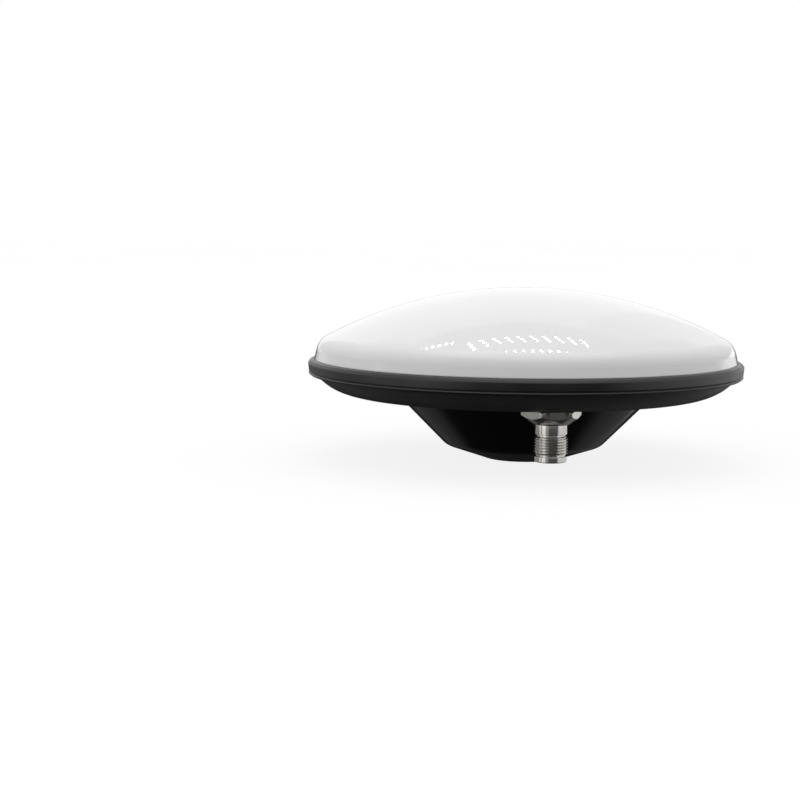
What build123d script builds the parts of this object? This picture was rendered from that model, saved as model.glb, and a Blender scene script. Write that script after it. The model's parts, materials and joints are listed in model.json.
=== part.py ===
from build123d import *
import math
import os

# A survey GNSS antenna head: domed radome, rubber rim bumper, bowl-shaped base, conical mounting hub and
# TNC jack. Millimetres, +Z up. The origin is the antenna reference point: the centre of the hub's bottom
# face, on the axis of the 5/8 inch pole thread. The jack hangs below the base on the -Y side. Heights are
# measured from the origin.

# ---------------------------------------------------------------- driving dimensions
BODY_R = 76.0  # outside radius of the rim bumper
APEX_Z = 59.8  # top of the dome
JOINT_Z = 32.0  # plane where the radome's flange meets the base's flange
BASE_Z = 22.7  # flat underside of the base
WALL = 2.5  # moulded wall thickness
FLOOR_Z = BASE_Z + WALL  # flat inside floor of the base
CLEAR = 0.1  # radial gap round pieces that only locate each other
THREAD_GAP = 0.02  # radial gap round threads drawn as plain cylinders

# Dome: a spherical crown, a rounded shoulder and a short drafted wall.
CROWN_R = 149.0
SHOULDER_R = 72.35
SHOULDER_ROUND = 7.0
WALL_FOOT_R = 73.75
WALL_FOOT_Z = 35.0
FLANGE_R = 74.8
FLANGE_TOP_Z = 33.6
FLANGE_BOTTOM_Z = 30.3
RIM_INNER_R = 69.4

# Base bowl.
BOWL_FLAT_R = 59.0
BOWL_TOP_R = 72.9
BOWL_TOP_Z = 29.0
BASE_LIP_R = 73.1
BASE_OPENING_R = 26.0

# Case screws, driven up from the underside into the radome's pillars.
CASE_SCREW_R = 55.5
CASE_SCREWS = 6
PILLAR_R = 3.2
BASE_PILLAR_R = 4.8
M3_R = 1.5
CASE_HEAD_R = 2.8
CASE_HEAD_H = 1.9
COUNTERBORE_R = 3.4
COUNTERBORE_DEPTH = 3.0
CASE_SCREW_TOP_Z = 40.0

# Mounting hub.
HUB_TOP_R = 45.2
HUB_EDGE_R = 27.5
HUB_EDGE_Z = 4.8
HUB_EDGE_ROUND = 6.0
HUB_FACE_R = 13.2
HUB_FACE_ROUND = 1.0
HUB_CORE_R = 15.5
HUB_CORE_TOP_Z = 24.5
HUB_WALL = 3.0
HUB_SCREW_R = 32.0
HUB_SCREWS = 6
HUB_RIBS = 12
HUB_RIB_TOP_Z = 21.0
HUB_BOSS_R = 4.0
M4_R = 2.0
HUB_HEAD_R = 3.5
HUB_HEAD_H = 2.2
HUB_SCREW_TIP_Z = 16.5
HUB_SEAL_R = 37.5

# Pole thread: 5/8-11 UNC, drawn at its minor diameter.
POLE_THREAD_R = 6.8
POLE_THREAD_MOUTH_R = 8.1
INSERT_R = 11.0
INSERT_TOP_Z = 18.0
RELIEF_R = 7.2
RELIEF_TOP_Z = 20.0

# Seals, drawn at their squeezed height.
SEAL_WIDTH = 2.0
SEAL_HEIGHT = 1.4
CASE_SEAL_R = 71.3

# TNC jack, hanging from the base at JACK_Y.
JACK_Y = -52.0
JACK_TIP_Z = 5.8
JACK_NOSE_R = 5.2
JACK_NOSE_H = 1.85
JACK_THREAD_R = 5.556  # 7/16-28 UNEF, major radius
JACK_THREAD_BOTTOM_Z = 8.35
JACK_THREAD_TOP_Z = 14.3
JACK_GROOVE_R = 4.75
JACK_COLLAR_R = 5.25
JACK_COLLAR_BOTTOM_Z = 14.8
JACK_COLLAR_TOP_Z = 18.05
JACK_REAR_THREAD_R = 4.76  # 3/8-32, major radius
JACK_FLANGE_R = 8.0
JACK_FLANGE_H = 2.2
JACK_MOUTH_R = 4.05
JACK_MOUTH_TOP_Z = 13.5
JACK_REAR_Z = 29.6
CONTACT_TOP_Z = 34.2
INSULATOR_R = 2.4
CONTACT_R = 0.85
NUT_FLATS = 17.46  # 11/16 inch across flats
NUT_NECK_R = 6.1
NUT_TOP_R = 9.5
NUT_LOWER_DEG = 38.0
NUT_UPPER_DEG = 35.0
NUT_TURN_DEG = 2.5
NUT_POCKET_R = 11.6
NUT_POCKET_WALL = 2.5
WASHER_R = 8.4
WASHER_H = 0.6
JACK_SEAL_R = 6.1

# Antenna stack.
PLANE_Z = 36.0
PLANE_H = 2.0
PLANE_R = 62.0
STANDOFF_R = 48.0
STANDOFFS = 4
STANDOFF_BOSS_R = 4.5
STANDOFF_BOSS_H = 2.0
STUD_LENGTH = 3.2
LOWER_SUBSTRATE_R = 44.0
LOWER_SUBSTRATE_H = 5.0
LOWER_ELEMENT_R = 38.0
UPPER_SUBSTRATE_R = 29.0
UPPER_SUBSTRATE_H = 4.0
UPPER_ELEMENT_R = 23.5
COPPER_H = 0.3
LOWER_FEED_R = 22.0
UPPER_FEED_R = 14.0
FEEDS = 4
PIN_R = 0.6
PIN_CLEAR_R = 1.6
PIN_STUB = 0.8
PIN_START_DEG = 45.0

# Low-noise amplifier board, under the ground plane.
BOARD_R = 38.0
BOARD_H = 1.6
BOARD_SCREW_R = 34.0
BOARD_SCREWS = 4
M25_R = 1.25
SHIELD_SIDE = 50.0
SHIELD_H = 4.8
SHIELD_WALL = 0.4
COAX_R = 0.9
BOARD_JACK_X = 12.0
BOARD_JACK_Y = -29.0
BOARD_JACK_R = 2.2
BOARD_JACK_H = 2.4
BARREL_LENGTH = 1.2
COAX_Z = 33.2

PLANE_TOP_Z = PLANE_Z + PLANE_H
BOARD_Z = PLANE_Z - BOARD_H
LOWER_TOP_Z = PLANE_TOP_Z + LOWER_SUBSTRATE_H
UPPER_Z = LOWER_TOP_Z + COPPER_H
UPPER_TOP_Z = UPPER_Z + UPPER_SUBSTRATE_H
CROWN_CENTRE_Z = APEX_Z - CROWN_R
STANDOFF_Z = FLOOR_Z + STANDOFF_BOSS_H


# ---------------------------------------------------------------- helpers
def crown_z(radius, inset=0.0):
    """Height of the dome's crown at a radius, or of the surface inset below it."""
    return CROWN_CENTRE_Z + math.sqrt((CROWN_R - inset) ** 2 - radius**2)


def lathe(outline, rounds=()):
    """Turns a closed (radius, height) outline about Z. rounds lists (corner, fillet radius) pairs."""
    face = make_face(outline)
    for corner, radius in rounds:
        at = Vector(*corner)
        nearest = min(face.vertices(), key=lambda v: (Vector(v.X, v.Y) - at).length)
        face = fillet(nearest, radius)
    return revolve(Rot(90, 0, 0) * face, Axis.Z).solid()


def turned(corners, rounds=()):
    """Turns straight-sided (radius, height) corners about Z."""
    return lathe(Polyline(*corners, close=True), rounds)


def rod(radius, low, high, x=0.0, y=0.0):
    """An upright cylinder between two heights."""
    return Pos(x, y, low) * extrude(Circle(radius), high - low)


def hexagon(flats, low, high, x=0.0, y=0.0, turn=0.0):
    """An upright hexagonal prism, flats across."""
    prism = extrude(RegularPolygon(flats / 2, 6, major_radius=False), high - low)
    return Pos(x, y, low) * Rot(0, 0, turn) * prism


def ring_points(radius, count, start_deg=0.0):
    """Evenly spaced (x, y) places on a circle."""
    angles = [math.radians(start_deg + 360.0 * i / count) for i in range(count)]
    return [(radius * math.cos(a), radius * math.sin(a)) for a in angles]


def seal(radius, low):
    """A squeezed O-ring of the common section, centred on a radius."""
    inner = radius - SEAL_WIDTH / 2
    outer = radius + SEAL_WIDTH / 2
    high = low + SEAL_HEIGHT
    corners = [(inner, low), (outer, low), (outer, high), (inner, high)]
    return turned(corners, [(corner, 0.5) for corner in corners])


def groove(radius, low, high):
    """The annular cut that holds such a seal."""
    half = SEAL_WIDTH / 2 + CLEAR
    return rod(radius + half, low, high) - rod(radius - half, low, high)


def group(pieces):
    """Separate solids that share one node."""
    return Compound(children=[piece.solid() for piece in pieces])


CASE_SCREW_PLACES = ring_points(CASE_SCREW_R, CASE_SCREWS)
HUB_SCREW_PLACES = ring_points(HUB_SCREW_R, HUB_SCREWS)
STANDOFF_PLACES = ring_points(STANDOFF_R, STANDOFFS, PIN_START_DEG)
BOARD_SCREW_PLACES = ring_points(BOARD_SCREW_R, BOARD_SCREWS)
UPPER_FEEDS = ring_points(UPPER_FEED_R, FEEDS, PIN_START_DEG)
LOWER_FEEDS = ring_points(LOWER_FEED_R, FEEDS)
CENTRE = [(0.0, 0.0)]


# ---------------------------------------------------------------- casings
def crown_arc(start_r, end_r, inset=0.0):
    """The dome's crown, or the surface inset below it, between two radii."""
    middle_r = (start_r + end_r) / 2
    return ThreePointArc(*[(r, crown_z(r, inset)) for r in (start_r, middle_r, end_r)])


def radome():
    """The dome with its flange, and pillars inside for the case screws."""
    inner_r = SHOULDER_R - WALL
    shoulder = (SHOULDER_R, crown_z(SHOULDER_R))
    inner_shoulder = (inner_r, crown_z(inner_r, WALL))
    foot = Polyline(
        shoulder,
        (WALL_FOOT_R, WALL_FOOT_Z),
        (WALL_FOOT_R, FLANGE_TOP_Z),
        (FLANGE_R, FLANGE_TOP_Z),
        (FLANGE_R, JOINT_Z),
        (RIM_INNER_R, JOINT_Z),
        (RIM_INNER_R, FLANGE_TOP_Z),
        (WALL_FOOT_R - WALL, WALL_FOOT_Z + 0.5),
        inner_shoulder,
    )
    axis_line = Line((0, APEX_Z - WALL), (0, APEX_Z))
    outline = [crown_arc(0, SHOULDER_R), foot, crown_arc(inner_r, 0, WALL), axis_line]
    shell = lathe(outline, [(shoulder, SHOULDER_ROUND), (inner_shoulder, SHOULDER_ROUND - WALL)])

    half_wall = WALL / 2  # the pillars run half-way into the wall
    trim_r = CASE_SCREW_R + 2 * PILLAR_R
    trim_side = Polyline((trim_r, crown_z(trim_r, half_wall)), (trim_r, JOINT_Z), (0, JOINT_Z))
    trim_axis = Line((0, JOINT_Z), (0, crown_z(0, half_wall)))
    under_crown = lathe([crown_arc(0, trim_r, half_wall), trim_side, trim_axis])
    for x, y in CASE_SCREW_PLACES:
        shell += rod(PILLAR_R, JOINT_Z, APEX_Z, x, y) & under_crown
    for x, y in CASE_SCREW_PLACES:
        shell -= rod(M3_R + THREAD_GAP, JOINT_Z, CASE_SCREW_TOP_Z + 1, x, y)
    return shell


def rim_bumper():
    """A rubber channel stretched over both flanges, with a fine groove above its lower lip."""
    top_inner = (WALL_FOOT_R, WALL_FOOT_Z)
    top_outer = (75.3, 34.4)
    side_top = (BODY_R, 33.5)
    side_bottom = (75.75, 31.6)
    groove_root = (75.2, 31.35)
    lip = (75.8, 30.8)
    bottom_outer = (75.1, 30.1)
    bottom_inner = (BASE_LIP_R + 0.2, 29.05)
    corners = [
        top_inner,
        top_outer,
        side_top,
        side_bottom,
        groove_root,
        lip,
        bottom_outer,
        bottom_inner,
        (BASE_LIP_R + 0.2, FLANGE_BOTTOM_Z),
        (FLANGE_R, FLANGE_BOTTOM_Z),
        (FLANGE_R, FLANGE_TOP_Z),
        (WALL_FOOT_R, FLANGE_TOP_Z),
    ]
    rounds = [(top_inner, 0.3), (top_outer, 0.8), (side_top, 0.8), (side_bottom, 0.2), (lip, 0.25)]
    return turned(corners, [*rounds, (bottom_outer, 0.5), (bottom_inner, 0.3)])


def base_shell():
    """The bowl, with a centre opening for the hub and pillars for the case screws."""
    across = BOWL_TOP_R - BOWL_FLAT_R
    rise = BOWL_TOP_Z - BASE_Z
    bowl_r = (across**2 + rise**2) / (2 * rise)  # tangent to the flat underside
    centre_z = BASE_Z + bowl_r
    inner_r = RIM_INNER_R

    def bowl_z(radius, arc_r):
        return centre_z - math.sqrt(arc_r**2 - (radius - BOWL_FLAT_R) ** 2)

    outer_arc = [(r, bowl_z(r, bowl_r)) for r in (BOWL_FLAT_R, BOWL_FLAT_R + across / 2, BOWL_TOP_R)]
    inner_arc = [(r, bowl_z(r, bowl_r - WALL)) for r in (inner_r, (BOWL_FLAT_R + inner_r) / 2, BOWL_FLAT_R)]
    shell = lathe(
        [
            Line((BASE_OPENING_R, BASE_Z), (BOWL_FLAT_R, BASE_Z)),
            ThreePointArc(*outer_arc),
            Polyline(
                (BOWL_TOP_R, BOWL_TOP_Z),
                (BASE_LIP_R, BOWL_TOP_Z + 0.2),
                (BASE_LIP_R, FLANGE_BOTTOM_Z),
                (FLANGE_R, FLANGE_BOTTOM_Z),
                (FLANGE_R, JOINT_Z),
                (inner_r, JOINT_Z),
                inner_arc[0],
            ),
            ThreePointArc(*inner_arc),
            Polyline((BOWL_FLAT_R, FLOOR_Z), (BASE_OPENING_R, FLOOR_Z), (BASE_OPENING_R, BASE_Z)),
        ]
    )
    for x, y in CASE_SCREW_PLACES:
        shell += rod(BASE_PILLAR_R, FLOOR_Z, JOINT_Z, x, y)
    for x, y in STANDOFF_PLACES:
        shell += rod(STANDOFF_BOSS_R, FLOOR_Z, STANDOFF_Z, x, y)
    shell -= groove(CASE_SEAL_R, JOINT_Z - SEAL_HEIGHT, JOINT_Z)
    for x, y in CASE_SCREW_PLACES:
        shell -= rod(COUNTERBORE_R, BASE_Z, BASE_Z + COUNTERBORE_DEPTH, x, y)
        shell -= rod(M3_R + CLEAR, BASE_Z, JOINT_Z, x, y)
    for x, y in HUB_SCREW_PLACES:
        shell -= rod(M4_R + CLEAR, BASE_Z, FLOOR_Z, x, y)
    shell -= rod(JACK_REAR_THREAD_R + CLEAR, BASE_Z, FLOOR_Z, 0, JACK_Y)
    shell -= rod(WASHER_R + CLEAR, BASE_Z, BASE_Z + WASHER_H, 0, JACK_Y)
    # A flat seat for the jack's flange, where the floor starts to curve.
    shell -= rod(JACK_FLANGE_R + CLEAR, FLOOR_Z, FLOOR_Z + JACK_FLANGE_H, 0, JACK_Y)
    for x, y in STANDOFF_PLACES:
        shell -= rod(M3_R + THREAD_GAP, STANDOFF_Z - STUD_LENGTH - 0.2, STANDOFF_Z, x, y)
    return shell


# ---------------------------------------------------------------- mounting hub
def mount_hub():
    """The cone under the base: a shell, with a core for the pole thread, and rings, bosses and ribs in it."""
    edge = (HUB_EDGE_R, HUB_EDGE_Z)
    face_edge = (HUB_FACE_R, 0)
    spigot_r = BASE_OPENING_R - CLEAR
    spigot_top_z = FLOOR_Z - 0.2
    corners = [(0, 0), face_edge, edge, (HUB_TOP_R, BASE_Z), (0, BASE_Z)]
    body = turned(corners, [(face_edge, HUB_FACE_ROUND), (edge, HUB_EDGE_ROUND)])
    inner_edge = (HUB_EDGE_R - HUB_WALL / 2, HUB_EDGE_Z + HUB_WALL)
    inner_rim = (HUB_TOP_R - 1.5 * HUB_WALL, BASE_Z)
    cavity = turned([(0, HUB_WALL), (HUB_FACE_R, HUB_WALL), inner_edge, inner_rim, (0, BASE_Z)])
    stiffeners = rod(HUB_CORE_R, 0, BASE_Z) + rod(NUT_POCKET_R + NUT_POCKET_WALL, 0, BASE_Z, 0, JACK_Y)
    stiffeners += rod(spigot_r, 0, BASE_Z) - rod(spigot_r - HUB_WALL, 0, BASE_Z)
    stiffeners += rod(HUB_SEAL_R + SEAL_WIDTH, 0, BASE_Z) - rod(HUB_SEAL_R - SEAL_WIDTH, 0, BASE_Z)
    for x, y in HUB_SCREW_PLACES:
        stiffeners += rod(HUB_BOSS_R, 0, BASE_Z, x, y)
    for i in range(HUB_RIBS):
        rib = Pos(HUB_TOP_R / 2, 0, 0) * extrude(Rectangle(HUB_TOP_R, 2.0), HUB_RIB_TOP_Z)
        stiffeners += Rot(0, 0, 360.0 * (i + 0.5) / HUB_RIBS) * rib
    hub = body - (cavity - stiffeners)
    hub += rod(spigot_r, BASE_Z, spigot_top_z) - rod(spigot_r - HUB_WALL, BASE_Z, spigot_top_z)
    hub += rod(HUB_CORE_R, BASE_Z, HUB_CORE_TOP_Z)
    hub -= rod(INSERT_R, 0, INSERT_TOP_Z) + rod(RELIEF_R, INSERT_TOP_Z, RELIEF_TOP_Z)
    hub -= groove(HUB_SEAL_R, BASE_Z - SEAL_HEIGHT, BASE_Z)
    for x, y in HUB_SCREW_PLACES:
        hub -= rod(M4_R + THREAD_GAP, HUB_SCREW_TIP_Z - 0.5, BASE_Z, x, y)
    hub -= rod(NUT_POCKET_R, HUB_EDGE_Z, BASE_Z, 0, JACK_Y)  # room for the jack's nut and its spanner
    return hub.solid()


def threaded_insert():
    """Steel sleeve for the pole thread, with two retaining grooves round it."""
    grooved = [(INSERT_R, 0), (INSERT_R, 4), (INSERT_R - 0.8, 4.5), (INSERT_R - 0.8, 6.5), (INSERT_R, 7)]
    grooved += [(INSERT_R, 11), (INSERT_R - 0.8, 11.5), (INSERT_R - 0.8, 13.5), (INSERT_R, 14)]
    mouth_depth = POLE_THREAD_MOUTH_R - POLE_THREAD_R
    corners = [(POLE_THREAD_R, mouth_depth), (POLE_THREAD_MOUTH_R, 0), *grooved]
    corners += [(INSERT_R, INSERT_TOP_Z), (POLE_THREAD_R, INSERT_TOP_Z)]
    return turned(corners)


def cross_recess(x, y, face_z, size, depth, down):
    """A cross-shaped driver recess sunk into a screw head's face."""
    low = face_z - depth if down else face_z
    bars = Rectangle(size, size / 4) + Rectangle(size / 4, size)
    return Pos(x, y, low) * extrude(bars, depth)


def case_screws():
    """Pan-head screws that come up through the base's pillars into the radome's."""
    seat_z = BASE_Z + COUNTERBORE_DEPTH
    head_z = seat_z - CASE_HEAD_H
    corners = [(0, head_z), (CASE_HEAD_R, head_z), (CASE_HEAD_R, seat_z), (M3_R, seat_z)]
    corners += [(M3_R, CASE_SCREW_TOP_Z - 1), (M3_R - 0.6, CASE_SCREW_TOP_Z), (0, CASE_SCREW_TOP_Z)]
    screw = turned(corners, [((CASE_HEAD_R, head_z), 0.9)]) - cross_recess(0, 0, head_z, 3.0, 1.1, False)
    return group([Pos(x, y, 0) * screw for x, y in CASE_SCREW_PLACES])


def headed_screw(head_r, head_h, shank_r, seat_z, tip_z):
    """A screw with its head above the seat and a driver recess in it."""
    corners = [(0, seat_z + head_h), (head_r, seat_z + head_h), (head_r, seat_z), (shank_r, seat_z)]
    corners += [(shank_r, tip_z), (0, tip_z)]
    screw = turned(corners, [((head_r, seat_z + head_h), head_h * 0.4)])
    return screw - cross_recess(0, 0, seat_z + head_h, head_r, head_h * 0.6, True)


def hub_screws():
    screw = headed_screw(HUB_HEAD_R, HUB_HEAD_H, M4_R, FLOOR_Z, HUB_SCREW_TIP_Z)
    return group([Pos(x, y, 0) * screw for x, y in HUB_SCREW_PLACES])


# ---------------------------------------------------------------- TNC jack
def jack_body():
    nose_top_z = JACK_TIP_Z + JACK_NOSE_H
    flange_top_z = FLOOR_Z + JACK_FLANGE_H
    bevel = 0.4
    corners = [
        (JACK_MOUTH_R, JACK_TIP_Z),
        (JACK_NOSE_R - bevel, JACK_TIP_Z),
        (JACK_NOSE_R, JACK_TIP_Z + bevel),
        (JACK_NOSE_R, nose_top_z),
        (JACK_GROOVE_R, nose_top_z),
        (JACK_GROOVE_R, JACK_THREAD_BOTTOM_Z),
        (JACK_THREAD_R, JACK_THREAD_BOTTOM_Z),
        (JACK_THREAD_R, JACK_THREAD_TOP_Z),
        (JACK_GROOVE_R, JACK_THREAD_TOP_Z),
        (JACK_GROOVE_R, JACK_COLLAR_BOTTOM_Z),
        (JACK_COLLAR_R, JACK_COLLAR_BOTTOM_Z),
        (JACK_COLLAR_R, JACK_COLLAR_TOP_Z),
        (JACK_REAR_THREAD_R, JACK_COLLAR_TOP_Z),
        (JACK_REAR_THREAD_R, FLOOR_Z),
        (JACK_FLANGE_R, FLOOR_Z),
        (JACK_FLANGE_R, flange_top_z),
        (JACK_REAR_THREAD_R - 0.5, flange_top_z),
        (JACK_REAR_THREAD_R - 0.5, JACK_REAR_Z),
        (INSULATOR_R, JACK_REAR_Z),
        (INSULATOR_R, JACK_MOUTH_TOP_Z),
        (JACK_MOUTH_R, JACK_MOUTH_TOP_Z),
    ]
    return Pos(0, JACK_Y, 0) * (turned(corners) - groove(JACK_SEAL_R, FLOOR_Z, FLOOR_Z + SEAL_HEIGHT))


def jack_insulator():
    corners = [(CONTACT_R, JACK_TIP_Z + 1.5), (INSULATOR_R, JACK_TIP_Z + 1.5)]
    corners += [(INSULATOR_R, JACK_REAR_Z), (CONTACT_R, JACK_REAR_Z)]
    return Pos(0, JACK_Y, 0) * turned(corners)


def jack_contact():
    """The centre socket: a slotted tube in front and a solder post behind."""
    socket_depth = 4.5
    low = JACK_TIP_Z + 1.7
    contact = rod(CONTACT_R, low, CONTACT_TOP_Z)
    contact -= rod(0.5, low, low + socket_depth)
    contact -= Pos(0, 0, low) * extrude(Rectangle(3 * CONTACT_R, 0.2), socket_depth - 1)
    return Pos(0, JACK_Y, 0) * contact


def jack_nut():
    """Hexagon with its corners cut by a deep cone below and a smaller one above."""
    bore_r = JACK_REAR_THREAD_R + THREAD_GAP
    corner_r = NUT_FLATS / math.sqrt(3) + 0.1
    lower_rise = (corner_r - NUT_NECK_R) * math.tan(math.radians(NUT_LOWER_DEG))
    upper_drop = (corner_r - NUT_TOP_R) * math.tan(math.radians(NUT_UPPER_DEG))
    corners = [
        (bore_r, JACK_COLLAR_TOP_Z),
        (NUT_NECK_R, JACK_COLLAR_TOP_Z),
        (corner_r, JACK_COLLAR_TOP_Z + lower_rise),
        (corner_r, BASE_Z - upper_drop),
        (NUT_TOP_R, BASE_Z),
        (bore_r, BASE_Z),
    ]
    prism = hexagon(NUT_FLATS, JACK_COLLAR_TOP_Z, BASE_Z, turn=NUT_TURN_DEG)
    return Pos(0, JACK_Y, 0) * (turned(corners) & prism)


def jack_washer():
    """Internal-tooth lock washer, sunk into the base above the nut."""
    teeth = 10
    top_z = BASE_Z + WASHER_H
    washer = rod(WASHER_R, BASE_Z, top_z) - rod(JACK_REAR_THREAD_R + 1.2, BASE_Z, top_z)
    tooth = Pos(JACK_REAR_THREAD_R + 0.9, 0, BASE_Z) * extrude(Rectangle(1.4, 1.3), WASHER_H)
    for i in range(teeth):
        washer += Rot(0, 0, 360.0 * i / teeth) * tooth
    return Pos(0, JACK_Y, 0) * washer


# ---------------------------------------------------------------- antenna stack
def drilled(solid, points, radius, low, high):
    """The solid with upright holes through it."""
    for x, y in points:
        solid -= rod(radius, low, high, x, y)
    return solid


def ground_plane():
    plane = rod(PLANE_R, PLANE_Z, PLANE_TOP_Z)
    plane = drilled(plane, CASE_SCREW_PLACES, PILLAR_R + 1, PLANE_Z, PLANE_TOP_Z)
    plane = drilled(plane, STANDOFF_PLACES, M3_R + CLEAR, PLANE_Z, PLANE_TOP_Z)
    plane = drilled(plane, UPPER_FEEDS + LOWER_FEEDS, PIN_CLEAR_R, PLANE_Z, PLANE_TOP_Z)
    plane = drilled(plane, BOARD_SCREW_PLACES, M25_R + THREAD_GAP, PLANE_Z, PLANE_TOP_Z)
    return drilled(plane, CENTRE, M3_R + CLEAR, PLANE_Z, PLANE_TOP_Z)


def standoffs():
    """Hexagonal spacers, each with a stud below and a threaded hole above."""
    post = hexagon(5.5, STANDOFF_Z, PLANE_Z) + rod(M3_R, STANDOFF_Z - STUD_LENGTH, STANDOFF_Z)
    post -= rod(M3_R + THREAD_GAP, PLANE_Z - 5, PLANE_Z)
    return group([Pos(x, y, 0) * post for x, y in STANDOFF_PLACES])


def plane_screws():
    screw = headed_screw(2.75, 1.8, M3_R, PLANE_TOP_Z, PLANE_Z - 4.5)
    return group([Pos(x, y, 0) * screw for x, y in STANDOFF_PLACES])


def lower_substrate():
    disc = rod(LOWER_SUBSTRATE_R, PLANE_TOP_Z, LOWER_TOP_Z)
    disc = drilled(disc, UPPER_FEEDS + LOWER_FEEDS, PIN_R, PLANE_TOP_Z, LOWER_TOP_Z)
    return drilled(disc, CENTRE, M3_R + CLEAR, PLANE_TOP_Z, LOWER_TOP_Z)


def lower_element():
    disc = rod(LOWER_ELEMENT_R, LOWER_TOP_Z, UPPER_Z)
    disc = drilled(disc, UPPER_FEEDS, PIN_CLEAR_R, LOWER_TOP_Z, UPPER_Z)
    disc = drilled(disc, LOWER_FEEDS, PIN_R, LOWER_TOP_Z, UPPER_Z)
    return drilled(disc, CENTRE, M3_R + CLEAR, LOWER_TOP_Z, UPPER_Z)


def upper_substrate():
    disc = rod(UPPER_SUBSTRATE_R, UPPER_Z, UPPER_TOP_Z)
    disc = drilled(disc, UPPER_FEEDS, PIN_R, UPPER_Z, UPPER_TOP_Z)
    return drilled(disc, CENTRE, M3_R + CLEAR, UPPER_Z, UPPER_TOP_Z)


def upper_element():
    disc = rod(UPPER_ELEMENT_R, UPPER_TOP_Z, UPPER_TOP_Z + COPPER_H)
    disc = drilled(disc, UPPER_FEEDS, PIN_R, UPPER_TOP_Z, UPPER_TOP_Z + COPPER_H)
    return drilled(disc, CENTRE, M3_R + CLEAR, UPPER_TOP_Z, UPPER_TOP_Z + COPPER_H)


def lower_feed_pins():
    return group([rod(PIN_R, BOARD_Z - PIN_STUB, UPPER_Z, x, y) for x, y in LOWER_FEEDS])


def upper_feed_pins():
    top = UPPER_TOP_Z + COPPER_H
    pin = rod(PIN_R, BOARD_Z - PIN_STUB, top) + rod(2 * PIN_R, top, top + 0.4)
    return group([Pos(x, y, 0) * pin for x, y in UPPER_FEEDS])


def stack_screw():
    return headed_screw(2.8, 1.6, M3_R, UPPER_TOP_Z + COPPER_H, BOARD_Z - 3)


def stack_nut():
    return hexagon(5.5, BOARD_Z - 2.4, BOARD_Z) - rod(M3_R + THREAD_GAP, BOARD_Z - 2.4, BOARD_Z)


# ---------------------------------------------------------------- amplifier board
def amplifier_board():
    board = rod(BOARD_R, BOARD_Z, PLANE_Z)
    board = drilled(board, UPPER_FEEDS + LOWER_FEEDS, PIN_R, BOARD_Z, PLANE_Z)
    board = drilled(board, BOARD_SCREW_PLACES, M25_R + CLEAR, BOARD_Z, PLANE_Z)
    return drilled(board, CENTRE, M3_R + CLEAR, BOARD_Z, PLANE_Z)


def board_screws():
    """Screws up through the board into the ground plane, heads down."""
    head_z = BOARD_Z - 1.5
    head_r = 2.2
    corners = [(0, head_z), (head_r, head_z), (head_r, BOARD_Z), (M25_R, BOARD_Z)]
    corners += [(M25_R, PLANE_TOP_Z), (0, PLANE_TOP_Z)]
    screw = turned(corners, [((head_r, head_z), 0.6)]) - cross_recess(0, 0, head_z, 2.4, 0.9, False)
    return group([Pos(x, y, 0) * screw for x, y in BOARD_SCREW_PLACES])


def amplifier_shield():
    """A pressed lid soldered to the board's underside."""
    low = BOARD_Z - SHIELD_H
    inner_side = SHIELD_SIDE - 2 * SHIELD_WALL
    can = extrude(RectangleRounded(SHIELD_SIDE, SHIELD_SIDE, 2.0), SHIELD_H)
    can -= Pos(0, 0, SHIELD_WALL) * extrude(RectangleRounded(inner_side, inner_side, 1.6), SHIELD_H)
    return Pos(0, 0, low) * can


def amplifier_chips():
    """Filters and amplifiers on the board, inside the shield."""
    places = [(x, y) for x in (-9.0, 9.0) for y in (-19.0, 19.0)]
    places += [(x, y) for x in (-19.0, 19.0) for y in (-8.0, 8.0)]
    height = 1.2
    chip = extrude(Rectangle(4.2, 3.4), height)
    return group([Pos(x, y, BOARD_Z - height) * chip for x, y in places])


def board_coax_plug():
    """Right-angle coaxial plug under the board's edge, outside the shield."""
    plug = rod(BOARD_JACK_R, BOARD_Z - BOARD_JACK_H, BOARD_Z, BOARD_JACK_X, BOARD_JACK_Y)
    barrel = Rot(90, 0, 0) * extrude(Circle(COAX_R + 0.2), BOARD_JACK_R + BARREL_LENGTH)
    return plug + Pos(BOARD_JACK_X, BOARD_JACK_Y, COAX_Z) * barrel


def coax_pigtail():
    """Thin coaxial lead from the jack's solder post to the board's plug."""
    post = Vector(0, JACK_Y, COAX_Z)
    first_bend = Vector(2.0, JACK_Y + 6.0, COAX_Z)
    start = post + (first_bend - post).normalized() * CONTACT_R
    end_y = BOARD_JACK_Y - BOARD_JACK_R - BARREL_LENGTH
    route = FilletPolyline(
        start,
        first_bend,
        (8.5, JACK_Y + 10.0, COAX_Z),
        (BOARD_JACK_X, end_y - 4.6, COAX_Z),
        (BOARD_JACK_X, end_y, COAX_Z),
        radius=[7.4, 11.0, 6.0],
    )
    section = Plane(origin=route @ 0, z_dir=route % 0) * Circle(COAX_R)
    return sweep(section, path=route)


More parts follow.
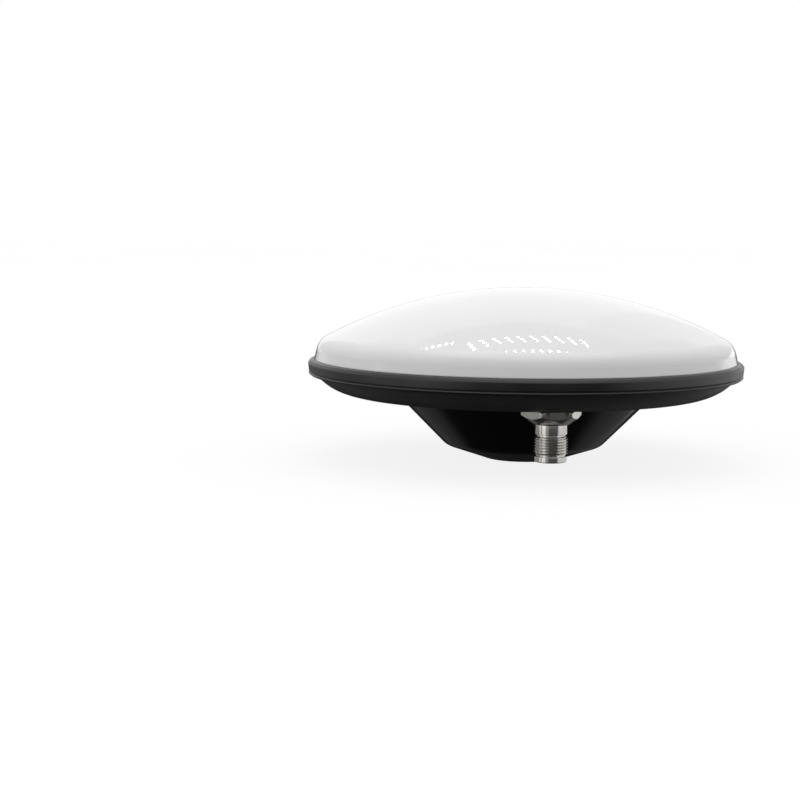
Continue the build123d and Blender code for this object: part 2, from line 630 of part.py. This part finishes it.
PARTS = {
    "radome": radome,
    "rim_bumper": rim_bumper,
    "base_shell": base_shell,
    "case_seal": lambda: seal(CASE_SEAL_R, JOINT_Z - SEAL_HEIGHT),
    "case_screws": case_screws,
    "mount_hub": mount_hub,
    "hub_seal": lambda: seal(HUB_SEAL_R, BASE_Z - SEAL_HEIGHT),
    "hub_screws": hub_screws,
    "threaded_insert": threaded_insert,
    "jack_body": jack_body,
    "jack_insulator": jack_insulator,
    "jack_contact": jack_contact,
    "jack_nut": jack_nut,
    "jack_washer": jack_washer,
    "jack_seal": lambda: Pos(0, JACK_Y, 0) * seal(JACK_SEAL_R, FLOOR_Z),
    "ground_plane": ground_plane,
    "standoffs": standoffs,
    "plane_screws": plane_screws,
    "lower_substrate": lower_substrate,
    "lower_element": lower_element,
    "upper_substrate": upper_substrate,
    "upper_element": upper_element,
    "lower_feed_pins": lower_feed_pins,
    "upper_feed_pins": upper_feed_pins,
    "stack_screw": stack_screw,
    "stack_nut": stack_nut,
    "amplifier_board": amplifier_board,
    "board_screws": board_screws,
    "amplifier_shield": amplifier_shield,
    "amplifier_chips": amplifier_chips,
    "board_coax_plug": board_coax_plug,
    "coax_pigtail": coax_pigtail,
}

os.makedirs("parts", exist_ok=True)
for name, make in PARTS.items():
    export_step(make(), os.path.join("parts", f"{name}.step"))
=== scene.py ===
import json
import math

import bpy
import bmesh
from mathutils import Matrix, Vector


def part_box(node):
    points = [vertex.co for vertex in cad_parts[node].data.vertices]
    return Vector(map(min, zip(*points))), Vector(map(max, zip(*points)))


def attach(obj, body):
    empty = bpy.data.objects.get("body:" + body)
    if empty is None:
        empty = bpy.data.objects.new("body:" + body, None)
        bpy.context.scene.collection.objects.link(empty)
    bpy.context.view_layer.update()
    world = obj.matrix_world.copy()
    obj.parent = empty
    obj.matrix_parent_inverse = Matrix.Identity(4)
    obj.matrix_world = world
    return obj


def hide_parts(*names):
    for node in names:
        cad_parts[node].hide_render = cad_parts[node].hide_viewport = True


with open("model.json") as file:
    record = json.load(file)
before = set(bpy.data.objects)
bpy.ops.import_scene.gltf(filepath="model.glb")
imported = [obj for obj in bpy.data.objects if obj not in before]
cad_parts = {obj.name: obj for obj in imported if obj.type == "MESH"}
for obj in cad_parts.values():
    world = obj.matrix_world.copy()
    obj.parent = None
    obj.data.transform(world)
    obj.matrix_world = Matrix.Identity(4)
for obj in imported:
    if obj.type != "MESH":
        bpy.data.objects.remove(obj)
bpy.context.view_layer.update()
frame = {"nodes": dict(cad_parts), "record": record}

# A survey GNSS antenna head. The frame is in metres, +Z up, with its origin at the centre of the hub's bottom
# face. Lengths of the object are in millimetres here, and MM turns them into metres.
MM = 0.001

# ---------------------------------------------------------------- measures from the frame
JACK_LOW, JACK_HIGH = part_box("jack_body")
JACK_AXIS = (JACK_LOW + JACK_HIGH) / 2 / MM
JACK_TIP_Z = JACK_LOW.z / MM
JACK_REAR_Z = JACK_HIGH.z / MM
JACK_FLANGE_R = (JACK_HIGH.x - JACK_LOW.x) / 2 / MM
NUT_LOW, NUT_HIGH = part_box("jack_nut")
INSERT_LOW, INSERT_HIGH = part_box("threaded_insert")
BUMPER_LOW, BUMPER_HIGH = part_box("rim_bumper")

# ---------------------------------------------------------------- mesh helpers
PROFILE_STEPS = 6  # straight pieces in a rounded corner of a profile
WELD = 0.0005 * MM  # points closer together than this are one


def rounded(corners, steps=PROFILE_STEPS):
    """(radius, height) points of a closed profile, from corners given as (radius, height, rounding)."""
    points = []
    count = len(corners)
    for i, (r, z, rounding) in enumerate(corners):
        here = Vector((r, z))
        if rounding <= 0:
            points.append((r, z))
            continue
        before = (Vector(corners[i - 1][:2]) - here).normalized()
        after = (Vector(corners[(i + 1) % count][:2]) - here).normalized()
        half = before.angle(after) / 2
        reach = rounding / math.tan(half)
        centre = here + (before + after).normalized() * rounding / math.sin(half)
        start = here + before * reach - centre
        end = here + after * reach - centre
        sweep = start.angle_signed(end)
        for k in range(steps + 1):
            turned = Matrix.Rotation(-sweep * k / steps, 2) @ start
            points.append(tuple(centre + turned))
    return points


def add_object(name, mesh):
    piece = bpy.data.objects.new(name, mesh)
    bpy.context.scene.collection.objects.link(piece)
    return piece


def spin(name, column, segments, centre=(0.0, 0.0), sharp_deg=32.0):
    """A solid turned about an upright axis. column(angle) is its closed (radius, height) profile there."""
    shape = bmesh.new()
    columns = []
    for j in range(segments + 1):
        angle = 2 * math.pi * j / segments
        cos, sin = math.cos(angle), math.sin(angle)
        columns.append([
            shape.verts.new(((centre[0] + r * cos) * MM, (centre[1] + r * sin) * MM, z * MM))
            for r, z in column(angle)
        ])
    for left, right in zip(columns, columns[1:]):
        for i, vert in enumerate(left):
            k = (i + 1) % len(left)
            shape.faces.new((vert, right[i], right[k], left[k]))
    bmesh.ops.remove_doubles(shape, verts=shape.verts, dist=WELD)
    bmesh.ops.dissolve_degenerate(shape, edges=shape.edges, dist=WELD)
    bmesh.ops.recalc_face_normals(shape, faces=shape.faces)
    mesh = bpy.data.meshes.new(name)
    shape.to_mesh(mesh)
    shape.free()
    mesh.polygons.foreach_set("use_smooth", [True] * len(mesh.polygons))
    mesh.set_sharp_from_angle(angle=math.radians(sharp_deg))
    return add_object(name, mesh)


def thread(angle, low, high, root_r, crest_r, pitch, entry):
    """(radius, height) points up a helical screw thread at one angle. Its ends are chamfered by entry."""
    lead = angle / (2 * math.pi)
    # A 60 degree thread over one pitch: a root of a quarter, a crest of an eighth, and flanks between them.
    corners = ((0.0, root_r), (0.25, root_r), (0.5625, crest_r), (0.6875, crest_r), (1.0, root_r))
    outward = 1 if crest_r > root_r else -1

    def radius_at(z):
        phase = ((z - low) / pitch - lead) % 1.0
        for (start, r0), (end, r1) in zip(corners, corners[1:]):
            if phase <= end:
                return r0 + (r1 - r0) * (phase - start) / (end - start)
        return root_r

    points = []
    for turn in range(-2, int((high - low) / pitch) + 2):
        for share, _ in corners[:-1]:
            z = min(max(low + pitch * (turn + share + lead), low), high)
            limit = crest_r - outward * max(0.0, entry - min(z - low, high - z))
            r = min(radius_at(z), limit) if outward > 0 else max(radius_at(z), limit)
            points.append((r, z))
    return points


# ---------------------------------------------------------------- materials
NOISE_ROUGHNESS = 0.55
PLASTIC_IOR = 1.5
PLASTIC_PATCH_MM = 18.0
TOOL_LINE_DEPTH_MM = 0.004


def start_material(name):
    """A new node material, its tree and its shader."""
    made = bpy.data.materials.new(name)
    made.use_nodes = True
    tree = made.node_tree
    return made, tree, tree.nodes["Principled BSDF"]


def node(tree, kind, values=(), **settings):
    """A node with its settings and with numbers put in its input sockets."""
    made = tree.nodes.new(kind)
    for key, value in settings.items():
        setattr(made, key, value)
    for key, value in dict(values).items():
        made.inputs[key].default_value = value
    return made


def place(tree, stretch=(1.0, 1.0, 1.0)):
    """Object coordinates in metres, stretched."""
    coords = node(tree, "ShaderNodeTexCoord")
    mapping = node(tree, "ShaderNodeMapping", {"Scale": stretch})
    tree.links.new(coords.outputs["Object"], mapping.inputs["Vector"])
    return mapping.outputs["Vector"]


def noise(tree, where, grain_mm, detail=3.0):
    """Noise whose grain is about that many millimetres."""
    settings = {"Scale": 1.0 / (grain_mm * MM), "Detail": detail, "Roughness": NOISE_ROUGHNESS}
    made = node(tree, "ShaderNodeTexNoise", settings)
    tree.links.new(where, made.inputs["Vector"])
    return made.outputs["Fac"]


def spread(tree, value, low, high, start=0.3, end=0.7):
    """Maps a 0 to 1 value between start and end onto low and high."""
    limits = {"From Min": start, "From Max": end, "To Min": low, "To Max": high}
    made = node(tree, "ShaderNodeMapRange", limits)
    tree.links.new(value, made.inputs["Value"])
    return made.outputs["Result"]


def blend_colours(tree, value, first, second):
    """From the first colour to the second as a noise value rises."""
    ramp = node(tree, "ShaderNodeValToRGB")
    for stop, position, colour in zip(ramp.color_ramp.elements, (0.3, 0.7), (first, second)):
        stop.position = position
        stop.color = (*colour, 1.0)
    tree.links.new(value, ramp.inputs["Fac"])
    return ramp.outputs["Color"]


def bump(tree, shader, layers):
    """Stacks (height value, depth in mm, strength) layers of bump."""
    normal = None
    for height, depth_mm, strength in layers:
        made = node(tree, "ShaderNodeBump", {"Strength": strength, "Distance": depth_mm * MM})
        tree.links.new(height, made.inputs["Height"])
        if normal is not None:
            tree.links.new(normal, made.inputs["Normal"])
        normal = made.outputs["Normal"]
    tree.links.new(normal, shader.inputs["Normal"])


def moulded_plastic(name, dark, light, rough, grain_mm, depth_mm):
    """Moulded plastic: faint colour drift, uneven gloss and a moulded grain."""
    made, tree, shader = start_material(name)
    where = place(tree)
    patches = noise(tree, where, PLASTIC_PATCH_MM)
    grain = noise(tree, where, grain_mm, 2.0)
    tree.links.new(blend_colours(tree, patches, dark, light), shader.inputs["Base Color"])
    tree.links.new(spread(tree, patches, rough[0], rough[1]), shader.inputs["Roughness"])
    bump(tree, shader, [(grain, depth_mm, 1.0)])
    shader.inputs["IOR"].default_value = PLASTIC_IOR
    return made


def rubber_rubbed_and_edge_lit(name, dark, light, rubbed_and_highlight, rough):
    """Soft moulding: fine grain, dusty patches, and a paler colour on convex edges found by pointiness,
    partly rubbed wear and partly a painted highlight.
    """
    made, tree, shader = start_material(name)
    where = place(tree)
    patches = noise(tree, where, 9.0, 5.0)
    grain = noise(tree, where, 0.22, 2.0)
    base = blend_colours(tree, patches, dark, light)
    geometry = node(tree, "ShaderNodeNewGeometry")
    # Convex edges turn the paler edge colour: partly rubbed wear, partly a painted highlight where light
    # catches the rounded edges.
    edges = spread(tree, geometry.outputs["Pointiness"], 0.0, 0.6, 0.52, 0.6)
    mix = node(tree, "ShaderNodeMix", data_type="RGBA")
    tree.links.new(edges, mix.inputs["Factor"])
    tree.links.new(base, mix.inputs["A"])
    mix.inputs["B"].default_value = (*rubbed_and_highlight, 1.0)
    tree.links.new(mix.outputs["Result"], shader.inputs["Base Color"])
    tree.links.new(spread(tree, patches, rough[0], rough[1]), shader.inputs["Roughness"])
    bump(tree, shader, [(grain, 0.02, 0.7)])
    return made


def machined_metal(name, dark, light, rough, line_mm=0.12, patch_mm=3.0, across=(0.02, 0.02, 1.0)):
    """Metal with fine tool lines. across stretches the noise along the lines."""
    made, tree, shader = start_material(name)
    patches = noise(tree, place(tree), patch_mm, 4.0)
    lines = noise(tree, place(tree, across), line_mm, 2.0)
    tree.links.new(blend_colours(tree, patches, dark, light), shader.inputs["Base Color"])
    tree.links.new(spread(tree, lines, rough[0], rough[1]), shader.inputs["Roughness"])
    bump(tree, shader, [(lines, TOOL_LINE_DEPTH_MM, 0.6)])
    shader.inputs["Metallic"].default_value = 1.0
    return made


def circuit_board(name):
    """Solder mask over copper: a darker and a lighter green where tracks run under it, with fine weave."""
    made, tree, shader = start_material(name)
    where = place(tree)
    tracks = node(tree, "ShaderNodeTexBrick", {"Scale": 180.0, "Mortar Size": 0.03, "Bias": -0.2})
    tracks.inputs["Color1"].default_value = (0.012, 0.12, 0.045, 1.0)
    tracks.inputs["Color2"].default_value = (0.016, 0.15, 0.06, 1.0)
    tracks.inputs["Mortar"].default_value = (0.03, 0.24, 0.1, 1.0)
    tree.links.new(where, tracks.inputs["Vector"])
    weave = noise(tree, where, 0.4, 2.0)
    tree.links.new(tracks.outputs["Color"], shader.inputs["Base Color"])
    tree.links.new(spread(tree, weave, 0.22, 0.38), shader.inputs["Roughness"])
    bump(tree, shader, [(tracks.outputs["Fac"], 0.03, 0.5), (weave, 0.01, 0.4)])
    return made


# Plastics: name, darker and lighter colour, roughness from and to, grain in mm, depth of the grain in mm.
# Rubbers: name, darker, lighter and edge colour (rubbed wear and painted highlight), roughness from and to.
# Metals: name, colours, roughness.
FINISHES = {
    "radome_white": moulded_plastic(
        "radome white", (0.79, 0.79, 0.79), (0.81, 0.81, 0.81), (0.015, 0.03), 6.0, 0.001),
    "bumper_rubber": rubber_rubbed_and_edge_lit(
        "bumper rubber", (0.015, 0.015, 0.0155), (0.021, 0.021, 0.0215), (0.035, 0.035, 0.036), (0.3, 0.42)),
    "base_plastic": moulded_plastic(
        "base plastic", (0.036, 0.036, 0.0365), (0.044, 0.044, 0.0445), (0.38, 0.48), 0.3, 0.02),
    "hub_gloss": moulded_plastic(
        "hub gloss", (0.0012, 0.0012, 0.0013), (0.0018, 0.0018, 0.0019), (0.08, 0.14), 5.0, 0.004),
    "seal_rubber": rubber_rubbed_and_edge_lit(
        "seal rubber", (0.012, 0.012, 0.012), (0.018, 0.018, 0.018), (0.03, 0.03, 0.03), (0.35, 0.5)),
    "stainless": machined_metal("stainless", (0.5, 0.5, 0.49), (0.62, 0.62, 0.61), (0.2, 0.34)),
    "nickel_plate": machined_metal("nickel plate", (0.6, 0.59, 0.56), (0.7, 0.69, 0.66), (0.12, 0.24)),
    "ptfe": moulded_plastic("ptfe", (0.74, 0.73, 0.7), (0.82, 0.81, 0.78), (0.4, 0.55), 0.5, 0.01),
    "gold_plate": machined_metal(
        "gold plate", (0.78, 0.52, 0.2), (0.9, 0.66, 0.3), (0.14, 0.25), patch_mm=1.0),
    "plane_aluminium": machined_metal(
        "ground plane aluminium", (0.66, 0.66, 0.68), (0.78, 0.78, 0.79), (0.28, 0.45),
        line_mm=0.3, across=(1.0, 0.03, 1.0)),
    "patch_ceramic": moulded_plastic(
        "patch ceramic", (0.66, 0.62, 0.54), (0.76, 0.72, 0.64), (0.35, 0.55), 0.6, 0.02),
    "patch_metal": machined_metal(
        "patch metal", (0.74, 0.73, 0.7), (0.86, 0.85, 0.82), (0.3, 0.5),
        line_mm=0.5, across=(1.0, 1.0, 1.0)),
    "solder_mask": circuit_board("solder mask"),
    "tin_plate": machined_metal(
        "tin plate", (0.6, 0.6, 0.6), (0.74, 0.74, 0.74), (0.3, 0.5),
        line_mm=1.5, across=(1.0, 1.0, 1.0)),
    "chip_epoxy": moulded_plastic(
        "chip epoxy", (0.02, 0.02, 0.02), (0.035, 0.035, 0.035), (0.5, 0.7), 0.15, 0.01),
    "coax_jacket": moulded_plastic(
        "coax jacket", (0.3, 0.14, 0.05), (0.4, 0.2, 0.08), (0.2, 0.35), 0.8, 0.01),
}
SLOT_OF = {part["node"]: part["material_slot"] for part in frame["record"]["subparts"]}


def finish(piece, slot):
    piece.data.materials.clear()
    piece.data.materials.append(FINISHES[slot])


def stand_for(piece, node_name):
    """The piece replaces a CAD node, with its body and its finish."""
    finish(piece, SLOT_OF[node_name])
    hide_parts(node_name)
    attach(piece, "root")


# ---------------------------------------------------------------- TNC jack
JACK_PITCH = 25.4 / 28
JACK_THREAD = (8.35, 14.3)
JACK_COLLAR = (14.8, 18.05)
JACK_CREST_R = 5.556
JACK_GROOVE_R = 4.75
JACK_REAR_R = 4.76
THREAD_DEPTH = 0.5413  # of a 60 degree thread, in pitches
BEVEL = 0.08


def jack_shell():
    """The jack's metal body, with a real helical coupling thread."""
    nose_r, core_r, mouth_r, mouth_top = 5.2, 2.4, 4.05, 13.5
    tip = JACK_TIP_Z
    flange_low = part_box("jack_seal")[0].z / MM
    flange_high = flange_low + 2.2
    collar_r = 5.25
    collar_low, collar_high = JACK_COLLAR
    tail_r = JACK_REAR_R - 0.5
    below = rounded([
        (mouth_r, tip + 0.35, BEVEL),
        (mouth_r + 0.45, tip, 0.2),
        (nose_r, tip, 0.3),
        (nose_r, tip + 1.85, BEVEL),
        (JACK_GROOVE_R, tip + 1.95, BEVEL),
    ])
    above = rounded([
        (JACK_GROOVE_R, collar_low, BEVEL),
        (collar_r, collar_low, 0.15),
        (collar_r, collar_high, BEVEL),
        (JACK_REAR_R, collar_high, BEVEL),
        (JACK_REAR_R, flange_low, BEVEL),
        (JACK_FLANGE_R, flange_low, 0.15),
        (JACK_FLANGE_R, flange_high, 0.3),
        (tail_r, flange_high, BEVEL),
        (tail_r, JACK_REAR_Z, 0.2),
        (core_r, JACK_REAR_Z, BEVEL),
        (core_r, mouth_top, BEVEL),
        (mouth_r, mouth_top, BEVEL),
    ])
    low, high = JACK_THREAD
    root_r = JACK_CREST_R - THREAD_DEPTH * JACK_PITCH

    def column(angle):
        cut = thread(angle, low, high, root_r, JACK_CREST_R, JACK_PITCH, 0.35)
        return [*below, (JACK_GROOVE_R, low), *cut, (JACK_GROOVE_R, high), *above]

    return spin("jack_shell_threaded", column, 96, JACK_AXIS[:2])


stand_for(jack_shell(), "jack_body")

# ---------------------------------------------------------------- hexagon nut
NUT_FLATS = 17.46
NUT_TURN_DEG = 2.5
NUT_NECK_R = 6.1
NUT_TOP_R = 9.5
NUT_LOWER_DEG = 38.0
NUT_UPPER_DEG = 35.0


def hexagon_nut():
    """The jack's nut: a hexagon whose corners are cut by a cone at either end, with its edges eased."""
    low, high = NUT_LOW.z / MM, NUT_HIGH.z / MM
    bore_r = JACK_REAR_R + 0.02
    lower_slope = math.tan(math.radians(NUT_LOWER_DEG))
    upper_slope = math.tan(math.radians(NUT_UPPER_DEG))
    side = math.pi / 3
    corner_soft = 0.25  # how far a corner's crest is eased
    corner_power = 40  # how close to the corner that begins
    sharp_r = NUT_FLATS / 2 / math.cos(side / 2)

    def column(angle):
        around = (angle - math.radians(NUT_TURN_DEG)) % side - side / 2  # 0 at the middle of a flat
        eased_r = sharp_r - corner_soft * (abs(around) / (side / 2)) ** corner_power
        flat_r = min(NUT_FLATS / 2 / math.cos(around), eased_r)
        return rounded([
            (bore_r, low, 0.1),
            (NUT_NECK_R, low, 0.06),
            (flat_r, low + (flat_r - NUT_NECK_R) * lower_slope, 0.12),
            (flat_r, high - (flat_r - NUT_TOP_R) * upper_slope, 0.1),
            (NUT_TOP_R, high, 0.06),
            (bore_r, high, 0.1),
        ], 3)

    return spin("jack_nut_eased", column, 240, JACK_AXIS[:2], 20.0)


stand_for(hexagon_nut(), "jack_nut")

# ---------------------------------------------------------------- pole thread insert
POLE_PITCH = 25.4 / 11
POLE_MINOR_R = 6.8
POLE_MAJOR_R = 7.94


def pole_insert():
    """The steel sleeve, with the real 5/8-11 helix inside it and two retaining grooves round it."""
    top = INSERT_HIGH.z / MM
    outer_r = (INSERT_HIGH.x - INSERT_LOW.x) / 2 / MM
    mouth_r = 8.1
    groove_r = outer_r - 0.8
    outside = [(outer_r, 0.0, 0.3)]
    for groove_low in (4.0, 11.0):
        outside += [(outer_r, groove_low, 0.05), (groove_r, groove_low + 0.5, 0.05)]
        outside += [(groove_r, groove_low + 2.5, 0.05), (outer_r, groove_low + 3.0, 0.05)]
    outside += [(outer_r, top, 0.2)]
    shell = rounded([(mouth_r, 0.0, 0.05), *outside, (POLE_MAJOR_R, top, 0.05)])

    def column(angle):
        cut = thread(angle, 0.4, top - 0.4, POLE_MAJOR_R, POLE_MINOR_R, POLE_PITCH, 1.1)
        return [*shell, *reversed(cut)]

    return spin("pole_insert_threaded", column, 120)


stand_for(pole_insert(), "threaded_insert")

# ---------------------------------------------------------------- rim bumper
def bumper():
    """The rubber channel over both flanges, with soft corners and a fine groove above its lower lip."""
    outer_r = BUMPER_HIGH.x / MM
    top = BUMPER_HIGH.z / MM
    bottom = BUMPER_LOW.z / MM
    dome_r, lip_r, flange_r = 73.75, 73.3, 74.8
    flange_low, flange_high = 30.3, 33.6
    profile = rounded([
        (dome_r, top, 0.3),
        (75.3, 34.4, 0.6),
        (outer_r, 33.5, 0.6),
        (75.7, 30.85, 0.2),
        (75.2, 30.65, 0.06),  # the groove's root
        (75.85, 30.0, 0.2),  # the lip
        (75.1, 29.35, 0.4),
        (lip_r, bottom, 0.25),
        (lip_r, flange_low, 0),
        (flange_r, flange_low, 0),
        (flange_r, flange_high, 0),
        (dome_r, flange_high, 0),
    ], 8)
    return spin("bumper_moulded", lambda angle: profile, 360, sharp_deg=40.0)


stand_for(bumper(), "rim_bumper")

# ---------------------------------------------------------------- everything else keeps its CAD shape
for name, cad_object in frame["nodes"].items():
    finish(cad_object, SLOT_OF[name])

# ---------------------------------------------------------------- stage
FLOOR_R = 6.0
FLOOR_GAP = 0.0001  # keeps the floor clear of the hub's face
FLOOR_GLOW = 0.86


def floor():
    """A pale floor, lit from below like a light table, so shadows on it are faint. Only the camera sees it:
    reflections and soft light come from the studio round it."""
    shape = bmesh.new()
    bmesh.ops.create_circle(shape, cap_ends=True, radius=FLOOR_R, segments=96)
    mesh = bpy.data.meshes.new("floor")
    shape.to_mesh(mesh)
    shape.free()
    piece = add_object("floor", mesh)
    piece.location.z = -FLOOR_GAP
    piece.visible_glossy = False
    piece.visible_diffuse = False
    made, tree, shader = start_material("pale floor")
    tone = blend_colours(tree, noise(tree, place(tree), 600.0, 2.0), (0.13, 0.13, 0.13), (0.14, 0.14, 0.14))
    tree.links.new(tone, shader.inputs["Base Color"])
    shader.inputs["Roughness"].default_value = 1.0
    shader.inputs["Specular IOR Level"].default_value = 0.0
    shader.inputs["Emission Color"].default_value = (1.0, 1.0, 1.0, 1.0)
    shader.inputs["Emission Strength"].default_value = FLOOR_GLOW
    mesh.materials.append(made)


floor()

# The studio, as panels of light seen from the object. Each is (azimuth from, azimuth to, elevation from,
# elevation to, soft edge, brightness), and they add up. Angles are in degrees, and azimuth runs clockwise
# from +Y, the side away from the camera.
ROOM_LIGHT = 0.022
PANELS = (
    (-360, 360, 0, 120, 6, 0.75),  # the walls and ceiling
    (-360, 360, 62, 120, 20, 0.95),  # the overhead softbox
    (-12, 20, 0, 44, 1.5, 0.34),  # the backdrop, brightest behind the object
    (20, 30, 0, 44, 1.5, 0.2),
    (30, 137, -24, 5, 3, 0.75),  # the white boards to the right
    (20, 110, -52, -22, 14, 0.12),  # the floor under them
    (-97, -82, -24, 14, 3, 0.8),  # the boards to the left
    (-132, -104, -20, 14, 3, 1.0),
    (206, 228, -20, 14, 3, 0.3),  # a strip beside the camera
    (-82, -12, -20, 4, 3, 0.28),  # the floor behind the object, to the left
    (-60, -8, -46, -18, 12, 0.09),
    (-125, -62, -52, -24, 14, 0.3),
    (137, 206, -20, 4, 3, 0.06),  # the floor before the camera
)
FRONT_SHADE = (136, 226, 0, 16, 6, -0.5)  # the darker room behind the camera

# Rows of small lamps in the ceiling, seen as dots in the dome's gloss. Each row is (distance behind, bow,
# spacing, x from, x to, lamps in each slanted set), in metres. A row bows back by bow times the square of the
# distance from its middle.
LAMP_HEIGHT = 1.05
LAMP_R = 0.0055
LAMP_LONG = 2.2  # a lamp's length from front to back, over its width
LAMP_GLOW = 30.0
LAMP_ROWS = (
    (0.704, 0.0, 0.0457, -0.083, 0.335, 3),
    (0.656, 1.16, 0.022, -0.40, -0.115, 1),
    (0.545, 0.5, 0.0313, -0.22, 0.335, 1),
)
LAMP_ROW_MIDDLE = 0.17
LAMP_SLANT = (0.006, -0.032)  # from one lamp of a set to the next


def ceiling_lamps():
    shape = bmesh.new()
    for behind, bow, spacing, x_from, x_to, lamps in LAMP_ROWS:
        for i in range(int((x_to - x_from) / spacing) + 1):
            x = x_from + i * spacing
            y = behind + bow * (x - LAMP_ROW_MIDDLE) ** 2
            for k in range(lamps):
                at = Matrix.Translation((x + LAMP_SLANT[0] * k, y + LAMP_SLANT[1] * k, LAMP_HEIGHT))
                shaped = at @ Matrix.Diagonal((1.0, LAMP_LONG, 1.0, 1.0))
                bmesh.ops.create_circle(shape, cap_ends=True, radius=LAMP_R, segments=12, matrix=shaped)
    mesh = bpy.data.meshes.new("ceiling_lamps")
    shape.to_mesh(mesh)
    shape.free()
    piece = add_object("ceiling_lamps", mesh)
    piece.visible_camera = False
    made, tree, shader = start_material("lamp")
    shader.inputs["Emission Color"].default_value = (1.0, 1.0, 1.0, 1.0)
    shader.inputs["Emission Strength"].default_value = LAMP_GLOW
    mesh.materials.append(made)


ceiling_lamps()


def math_node(tree, operation, *values, clamp=False):
    made = node(tree, "ShaderNodeMath", operation=operation, use_clamp=clamp)
    for socket, value in zip(made.inputs, values):
        if isinstance(value, (int, float)):
            socket.default_value = value
        else:
            tree.links.new(value, socket)
    return made.outputs["Value"]


def between(tree, value, low, high, soft):
    """1 between two limits and 0 outside them, with soft edges."""
    edges = []
    for start, end in ((low - soft / 2, low + soft / 2), (high + soft / 2, high - soft / 2)):
        limits = {"From Min": start, "From Max": end}
        edge = node(tree, "ShaderNodeMapRange", limits, interpolation_type="SMOOTHSTEP")
        tree.links.new(value, edge.inputs["Value"])
        edges.append(edge.outputs["Result"])
    return math_node(tree, "MULTIPLY", *edges)


def studio():
    """The panels, for light and reflections. The camera itself sees plain white behind the object."""
    world = bpy.data.worlds.new("studio")
    bpy.context.scene.world = world
    world.use_nodes = True
    tree = world.node_tree
    coords = node(tree, "ShaderNodeTexCoord")
    split = node(tree, "ShaderNodeSeparateXYZ")
    tree.links.new(coords.outputs["Generated"], split.inputs["Vector"])
    east, north, up = (split.outputs[axis] for axis in "XYZ")
    elevation = math_node(tree, "DEGREES", math_node(tree, "ARCSINE", up))
    azimuth = math_node(tree, "DEGREES", math_node(tree, "ARCTAN2", east, north))
    azimuth_behind = math_node(tree, "MODULO", math_node(tree, "ADD", azimuth, 360.0), 360.0)
    light = ROOM_LIGHT
    for az_from, az_to, el_from, el_to, soft, brightness in (*PANELS, FRONT_SHADE):
        turn = azimuth_behind if az_to > 180 and az_from > 0 else azimuth
        mask = math_node(tree, "MULTIPLY", between(tree, turn, az_from, az_to, soft),
                         between(tree, elevation, el_from, el_to, soft))
        light = math_node(tree, "ADD", light, math_node(tree, "MULTIPLY", mask, brightness))
    background = tree.nodes["Background"]
    tree.links.new(light, background.inputs["Color"])
    white = node(tree, "ShaderNodeBackground", {"Color": (1.0, 1.0, 1.0, 1.0), "Strength": 1.0})
    rays = node(tree, "ShaderNodeLightPath")
    mix = node(tree, "ShaderNodeMixShader")
    tree.links.new(rays.outputs["Is Camera Ray"], mix.inputs["Fac"])
    tree.links.new(background.outputs["Background"], mix.inputs[1])
    tree.links.new(white.outputs["Background"], mix.inputs[2])
    tree.links.new(mix.outputs["Shader"], tree.nodes["World Output"].inputs["Surface"])


studio()

# ---------------------------------------------------------------- camera
CAMERA_AT = Vector((-0.1018, -0.5889, 0.0839))
CAMERA_TURN = math.radians(5.62)  # to the right of +Y
CAMERA_TILT = math.radians(6.13)  # below level
CAMERA_ROLL = math.radians(0.41)

camera_data = bpy.data.cameras.new("camera")
camera_data.sensor_width = 36.0
camera_data.lens = 76.5
camera = bpy.data.objects.new("camera", camera_data)
bpy.context.scene.collection.objects.link(camera)
camera.matrix_world = (
    Matrix.Translation(CAMERA_AT)
    @ Matrix.Rotation(-CAMERA_TURN, 4, "Z")
    @ Matrix.Rotation(math.pi / 2 - CAMERA_TILT, 4, "X")
    @ Matrix.Rotation(CAMERA_ROLL, 4, "Z")
)
bpy.context.scene.camera = camera
bpy.context.scene.view_settings.view_transform = "Standard"
